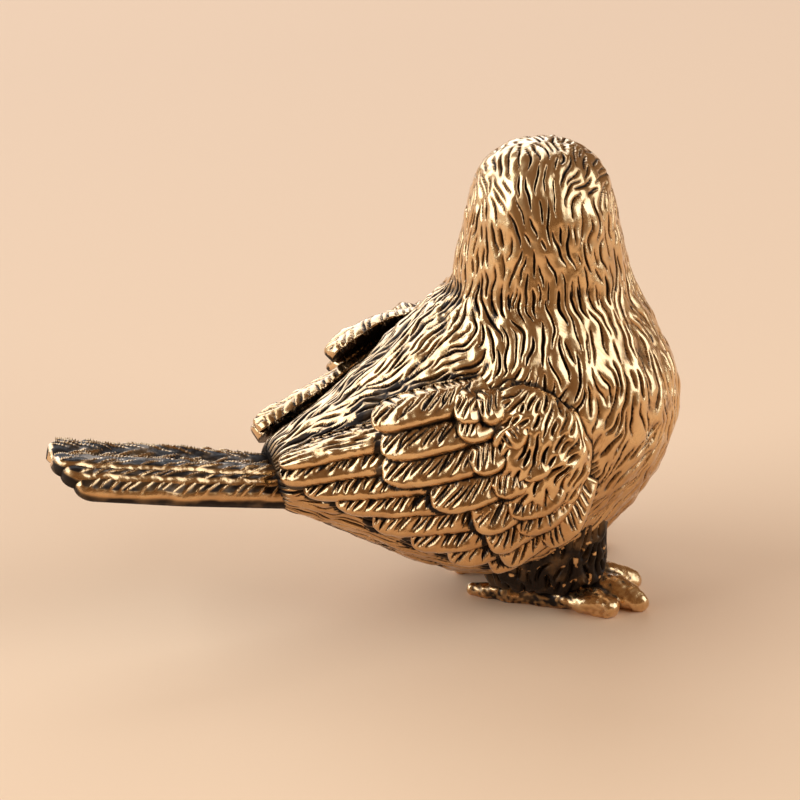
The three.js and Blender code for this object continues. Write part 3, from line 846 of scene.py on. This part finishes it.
def plumed(base, lie_way, columns, rows, gap, reach, seed, mirror, darkening=0.0):
    """A closed skin with strokes of plumage over a base shape, which gives millimetres at the shares round
    and along. The feathers lie the way that lie_way points."""
    small = 1e-3

    def surface(round_share, along):
        points = base(round_share, along)
        around = base(round_share + small, along) - base(round_share - small, along)
        ahead, behind = np.minimum(along + small, 1), np.maximum(along - small, 0)
        onward = base(round_share, ahead) - base(round_share, behind)
        return points, unit(np.cross(around, onward))

    along, round_share = np.meshgrid(
        np.linspace(0.03, 0.95, 110), np.linspace(0, 1, 160)[:-1], indexing="ij")
    points, out = surface(round_share, along)
    middle = points.reshape(-1, 3).mean(axis=0)
    way = 1 if ((points - middle) * out).sum() > 0 else -1
    out = out * way
    lie_here = unit(lie_way - (lie_way * out).sum(axis=-1, keepdims=True) * out)
    strokes = comb(points, out, lie_here, gap, reach, (0.09, 0.14), (0.28, 0.42), 0.24, seed)

    def place(round_share, along):
        points, out = surface(round_share, along)
        depth, patina_and_shade = gouged(points, strokes)
        lump = np.array([noise.noise(Vector(point) * 0.6 + Vector((seed, 0, 0))) for point in points]) * 0.3
        points = points + out * (way * (lump - depth))[:, None]
        close_ends(points, along)
        points[:, 1] *= mirror
        return points, np.maximum(patina_and_shade, darkening * smooth(0.5, 0.4, bumps(points, (1.5, 1))))

    return lofted(columns, rows, place)


def shoulder_base(round_share, along):
    turn = round_share * 2 * math.pi
    past_top = along - mound_top_share
    out_share = np.minimum(along / mound_top_share, 1 - past_top / (1 - mound_top_share))
    station = mound_place[0] + out_share * (mound_reach[0] * np.cos(turn) + 0.5 * np.sin(turn))
    angle = np.radians(mound_place[1] + mound_reach[1] * out_share * np.sin(turn))
    rise = lerp(-mound_sink, mound_height, np.clip(1 - out_share ** 3, 0, 1) ** 0.7)
    height = np.where(past_top > 0, -mound_sink - 0.4 * (1 - out_share), rise)
    point, normal = flank(station, angle)[:2]
    return point + normal * height[..., None]


def wing_layer(courses, spec, mirror, seed, stand, lengthwise=()):
    """The feathers of one layer, from the back down. The first ones are lifted a little."""
    feathers = []
    for i, (root, tip) in enumerate(courses):
        chance = random.Random(seed + i)
        course = flank_course(root, tip)
        length = course_length(course)
        raised = (spec["lift"] + stand) * max(0, 1 - i / 3)
        own = dict(spec, tip_top=spec["tip_top"] + raised, tip_bottom=spec["tip_bottom"] + raised)
        if i == 0:
            own["wall_columns"] = free_wall_columns
            own["tip_bottom"] = own["tip_top"] - free_thickness
        half = spec["width"] / 2
        if i in lengthwise:
            cuts = long_cuts(length, half, chance)
        else:
            cuts = barb_cuts(length, half, spec["first_cut"], spec["slant"], chance)
        feathers.append(feather(own, course, cuts, mirror))
    return feathers


scale_courses = []
station_spread = 0.18
angle_spread = 2.5
turn_spread = 4
uneven = random.Random(8)
for top, bottom, reach, count in shoulder_rows:
    for i in range(count):
        station, angle = (lerp(top[k], bottom[k], i / (count - 1)) for k in (0, 1))
        station += uneven.uniform(-station_spread, station_spread)
        angle += uneven.uniform(-angle_spread, angle_spread)
        turn = uneven.uniform(-turn_spread, turn_spread)
        scale_courses.append(((station - reach, angle - turn), (station, angle + turn)))


# Each pass: how many cells the average reaches, and the depths between which the painted shade sets in
hollow_shade_passes = ((3, -0.02, 0.12), (8, 1.5, 2.6))


def blurred(grid, reach):
    for axis in (0, 1):
        offsets = range(-2 * reach, 2 * reach + 1)
        grid = sum(math.exp(-(k / reach) ** 2) * np.roll(grid, k, axis) for k in offsets)
    return grid


def paint_shade_in_hollows(pieces, toward):
    """Adds painted shade, over the patina that hollows keep, where the pieces, seen from one way, lie lower
    than what is round them on average.
    """
    cell = 0.12
    sideways = unit(np.cross(toward, (1.0, 0, 0)))
    spots = []
    for piece in pieces:
        at, facing = (np.empty(len(piece.data.vertices) * 3, np.float32) for _ in range(2))
        piece.data.vertices.foreach_get("co", at)
        piece.data.vertices.foreach_get("normal", facing)
        at = at.reshape(-1, 3) / metre
        across = np.floor(np.stack([at[:, 0], at @ sideways]) / cell).astype(int)
        spots.append((piece, across, at @ toward, facing.reshape(-1, 3) @ toward))
    margin = 20
    first = np.min([across.min(axis=1) for _, across, _, _ in spots], axis=0) - margin
    last = np.max([across.max(axis=1) for _, across, _, _ in spots], axis=0) + margin
    crest = np.full(last - first + 1, -np.inf)
    for _, across, height, facing in spots:
        seen = facing > 0.1
        np.maximum.at(crest, tuple((across - first[:, None])[:, seen]), height[seen])
    known = np.isfinite(crest)
    for reach, low, high in hollow_shade_passes:
        weight = blurred(known.astype(float), reach)
        average = blurred(np.where(known, crest, 0), reach) / np.maximum(weight, 1e-9)
        for piece, across, height, facing in spots:
            hollow = average[tuple(across - first[:, None])] - height
            patina_and_shade = np.empty(len(height), np.float32)
            layer = piece.data.attributes["patina_and_shade"].data
            layer.foreach_get("value", patina_and_shade)
            added = smooth(low, high, hollow) * smooth(0.15, 0.5, facing)
            layer.foreach_set("value", np.maximum(patina_and_shade, added).astype(np.float32))


down_and_back = np.array((-0.5, 0, -0.9))

# The left wing stands a little higher, and the right one's uppermost flight feather has long lines
for mirror, name, seed, lengthwise, stand in ((1, "right", 100, (0,), 0), (-1, "left", 500, (), 0.4)):
    flights = wing_layer(flight_courses, flight_spec, mirror, seed, stand / 2, lengthwise)
    coverts = wing_layer(covert_courses, covert_spec, mirror, seed + 50, stand)
    scales = wing_layer(scale_courses, scale_spec, mirror, seed + 90, stand)
    mound = plumed(
        shoulder_base, down_and_back, columns=300, rows=96, gap=0.64, reach=(1.4, 4.0), seed=seed + 130,
        mirror=mirror)
    layers = (
        ("flight_blades", "flight_feathers", flights),
        ("covert_blades", "wing_coverts", coverts),
        ("shoulder_scales", "wing_shoulder", scales + [mound]),
    )
    wing = [
        finished(f"{name}_{cast}", shapes, feather_brass, "wing_feathers", f"{name}_{node}")
        for cast, node, shapes in layers]
    # Painted shade in the hollows of the wing, under its feathers and on the torso beside it
    level_with_wing = np.array([0, -0.966 * mirror, 0.259])
    paint_shade_in_hollows(wing + torso_skins, level_with_wing)


# Tail
# Six long feathers folded over each other like a roof, the middle pair on top, cast in one with the rump.
# Patina covers them but for the rubbed rims and the thin barbs that slant away from their middle lines.
tail_length = 19.6
tail_tilt = math.radians(10.6)
tail_feather_width = 3.7
tail_thickness = 1.8
tail_rise = 0.3
tail_half_spread = 3.2
tail_roll = math.radians(24)
tail_root_share = 0.7
tail_sink = 1.2
tail_root_height = 12.8
rump = np.array([back_points[-1][0] + frame_shift - 0.3, 0, tail_root_height])
tail_back = np.array([-math.cos(tail_tilt), 0, math.sin(tail_tilt)])
tail_up = np.array([math.sin(tail_tilt), 0, math.cos(tail_tilt)])
tail_left = np.array([0, 1, 0])


def tail_course(offset, length):
    roll = tail_roll * offset
    normal = tail_up * math.cos(roll) + tail_left * math.sin(roll)
    sideways = tail_left * math.cos(roll) - tail_up * math.sin(roll)
    drop = tail_half_spread * math.tan(tail_roll / 2) * offset ** 2

    def course(t):
        t = t[:, None]
        point = (rump + tail_back * lerp(-tail_sink, length, t)
                 + tail_left * (offset * tail_half_spread * lerp(tail_root_share, 1, t))
                 + tail_up * (tail_rise - drop))
        return point, np.broadcast_to(normal, point.shape), np.broadcast_to(sideways, point.shape)

    return course


def herringbone(length, half, lean, chance):
    """Thin raised barbs on both sides of a feather's middle line, given like cuts."""
    barbs = []
    s = np.linspace(0, 1, 24)
    for side in (1, -1):
        x = 0.3
        while x < length - 0.6:
            y = lerp(chance.uniform(0.0, 0.3), half - chance.uniform(0.1, 0.5), s)
            path = np.column_stack([x + y * lean * chance.uniform(0.8, 1.2), side * y])
            barbs.append(stroke(path, chance.uniform(0.05, 0.09), chance.uniform(0.16, 0.26)))
            x += chance.uniform(0.7, 1.2) * max(1, lean * 0.8)
    return np.concatenate(barbs)


tail_spec = dict(
    vane, width=tail_feather_width, root_top=tail_thickness / 2, tip_top=tail_thickness / 2 - 0.2, rise=1,
    shoulder=0.9, tip_bottom=-0.6, columns=40, rows=300, raised=True, rim=0.26, skirt=0.1)
# Each tier: place out from the middle, share of the length, lean of the barbs, roll and camber
tail_tiers = (
    ("middle", 0.28, 1.0, 2.4, 0.6, 0.3),
    ("inner", 0.65, 0.97, 2.0, 0.6, 0.3),
    ("outer", 1.0, 0.92, 1.2, 0.1, 0.45),
)
for tier, offset, share, lean, roll, camber in tail_tiers:
    for mirror, name in ((-1, "right"), (1, "left")):
        chance = random.Random(f"{tier}{name}")
        length = tail_length * share
        barbs = herringbone(length, tail_feather_width / 2, lean, chance)
        own = dict(tail_spec, roll=roll, camber=camber)
        blade = feather(own, tail_course(offset, length), barbs, mirror)
        feather_name = f"{name}_{tier}_tail"
        finished(f"{feather_name}_blade", [blade], feather_brass, "tail_feathers", f"{feather_name}_feather")


# Thighs
# Feathers that hang from the belly in a long oval, down on to the ankle and over the hind toe, cast in one
# with both. Their colour is almost black all over, but for small bright flecks.
thigh_hem = {"centre": (0.3, -5.0), "reach": 4.8, "width": 2.2, "height": 1.4}
thigh_top = {"centre": (-0.5, -5.5), "reach": 6.2, "width": 4.0, "height": 9.0}
thigh_turn = math.radians(-17)
hem_closing = 0.03


def thigh_base(round_share, along):
    turn = round_share * 2 * math.pi
    swell = np.sqrt(along)
    closed = np.minimum(1, along / hem_closing)
    ahead, aside = (
        lerp(thigh_hem[key], thigh_top[key], swell) * closed * way(turn)
        for key, way in (("reach", np.cos), ("width", np.sin)))
    middle = [lerp(hem, top, along) for hem, top in zip(thigh_hem["centre"], thigh_top["centre"])]
    return np.stack([
        frame_shift + middle[0] + ahead * math.cos(thigh_turn) - aside * math.sin(thigh_turn),
        middle[1] + ahead * math.sin(thigh_turn) + aside * math.cos(thigh_turn),
        lerp(thigh_hem["height"], thigh_top["height"], along),
    ], axis=-1)


glossy_thigh_brass = antique_brass("glossy_thigh_brass", 0.1)
for mirror, name in ((1, "right"), (-1, "left")):
    # Almost black all over, but for small bright flecks
    stub = plumed(
        thigh_base, -up, columns=288, rows=104, gap=0.7, reach=(1.5, 4.0), seed=31 + mirror,
        mirror=mirror, darkening=1.0)
    finished(f"{name}_thigh_plumage", [stub], glossy_thigh_brass, "plumage", f"{name}_thigh")


# Feet
# A thin web on the floor with a bar along its outer side, from the long hind toe to the outermost front toe,
# and two more front toes. They are melted into one lump of wax under the ankle and ground flat below.
melt_voxel = 0.13
melt_rounds = 5
# Painted shade on the foot round and under the thigh: its middle, reach and slant
painted_shade_centre = (0.3, -4.9)
painted_shade_reach = (5.5, 2.3)
painted_shade_slant = 0.3
toe_paths = [
    ([(-5.6, -2.3, 0.5), (-2.5, -4.4, 0.6), (1.1, -6.6, 0.75), (3.2, -8.2, 0.95), (4.7, -9.5, 0.8)],
     [0.65, 0.85, 0.95, 1.25, 1.1]),
    ([(3.4, -5.8, 1.9), (5.8, -7.5, 1.5), (7.5, -9.0, 0.8)], [1.5, 1.35, 1.05]),
    ([(3.6, -5.6, 2.1), (6.0, -5.5, 1.8), (8.0, -5.2, 1.0)], [1.7, 1.35, 1.0]),
    ([(-3.8, -3.6, 0.8), (-0.5, -5.0, 1.1), (2.5, -6.0, 1.4), (5.0, -6.6, 0.8)], [0.8, 1.1, 1.3, 1.2]),
    ([(3.9, -5.8, 0.6), (3.9, -5.8, 2.0), (3.7, -5.8, 3.4)], [1.9, 1.7, 1.5]),
]


def bar(path, radii):
    """A round bar with rounded ends along a path of millimetres."""
    path = np.array(path) + (frame_shift, 0, 0)
    cap = 0.15

    def place(round_share, along):
        turn = round_share * 2 * math.pi
        t = np.clip((along - cap) / (1 - 2 * cap), 0, 1)
        end = np.clip(np.maximum(cap - along, along + cap - 1) / cap, 0, 1) * math.pi / 2
        size = spline(radii, t)[:, 0]
        centre = spline(path, t)
        way = unit(spline(path, np.minimum(t + 0.01, 1)) - spline(path, np.maximum(t - 0.01, 0)))
        side_way = unit(np.cross(way, (0.3, 0.2, 1)))
        up_way = np.cross(side_way, way)
        centre = centre + way * (size * np.sin(end) * np.sign(along - 0.5))[:, None]
        ring = size * np.cos(end)
        points = (centre
                  + side_way * (ring * np.cos(turn))[:, None]
                  + up_way * (ring * np.sin(turn))[:, None])
        close_ends(points, along)
        return points, np.zeros(len(points))

    return lofted(32, 48, place)


def melted(shapes, voxel, seed, mirror):
    """One skin round all the shapes, roughened as cast, with patina in its hollows and painted shade round
    and under the thigh.
    """
    lump = finished("lump", shapes, smooth_brass, "beak_and_feet")
    remesh = lump.modifiers.new("melt", "REMESH")
    remesh.mode = "VOXEL"
    remesh.voxel_size = voxel * metre
    mesh = bpy.data.meshes.new_from_object(lump.evaluated_get(bpy.context.evaluated_depsgraph_get()))
    bpy.data.objects.remove(lump)
    skin = bmesh.new()
    skin.from_mesh(mesh)
    bpy.data.meshes.remove(mesh)
    for _ in range(melt_rounds):
        bmesh.ops.smooth_vert(
            skin, verts=skin.verts, factor=0.5, use_axis_x=True, use_axis_y=True, use_axis_z=True)
    skin.normal_update()
    for vert in skin.verts:
        p = vert.co / metre
        rough = noise.noise(p * 0.7 + Vector((seed, 0, 0))) * 0.22 + noise.noise(p * 2.2) * 0.05
        vert.co += vert.normal * (rough * metre)
    skin.normal_update()
    layer = skin.verts.layers.float.new("patina_and_shade")
    for vert in skin.verts:
        around = [edge.other_vert(vert).co for edge in vert.link_edges]
        hollow = (sum(around, Vector()) / len(around) - vert.co).dot(vert.normal) / (voxel * metre)
        p = vert.co / metre
        forward = p.x - frame_shift
        ahead = (forward - painted_shade_centre[0]) / painted_shade_reach[0]
        aside = (p.y - painted_shade_centre[1] + forward * painted_shade_slant) / painted_shade_reach[1]
        from_thigh = math.hypot(ahead, aside)
        # Painted shade round and under the thigh, broken by noise
        painted_shade = smooth(1.5, 0.85, from_thigh) * 0.8 + noise.noise(p * 1.1) * 0.5
        vert[layer] = min(1, max(0, 0.25 + hollow * 9 + painted_shade))
    for vert in skin.verts:
        vert.co.z = max(0, vert.co.z)
        vert.co.y *= mirror
    bmesh.ops.recalc_face_normals(skin, faces=skin.faces)
    return skin


for mirror, name in ((1, "right"), (-1, "left")):
    foot = melted([bar(*path) for path in toe_paths], melt_voxel, 5 + mirror, mirror)
    finished(f"{name}_foot_cast", [foot], smooth_brass, "beak_and_feet", f"{name}_foot")
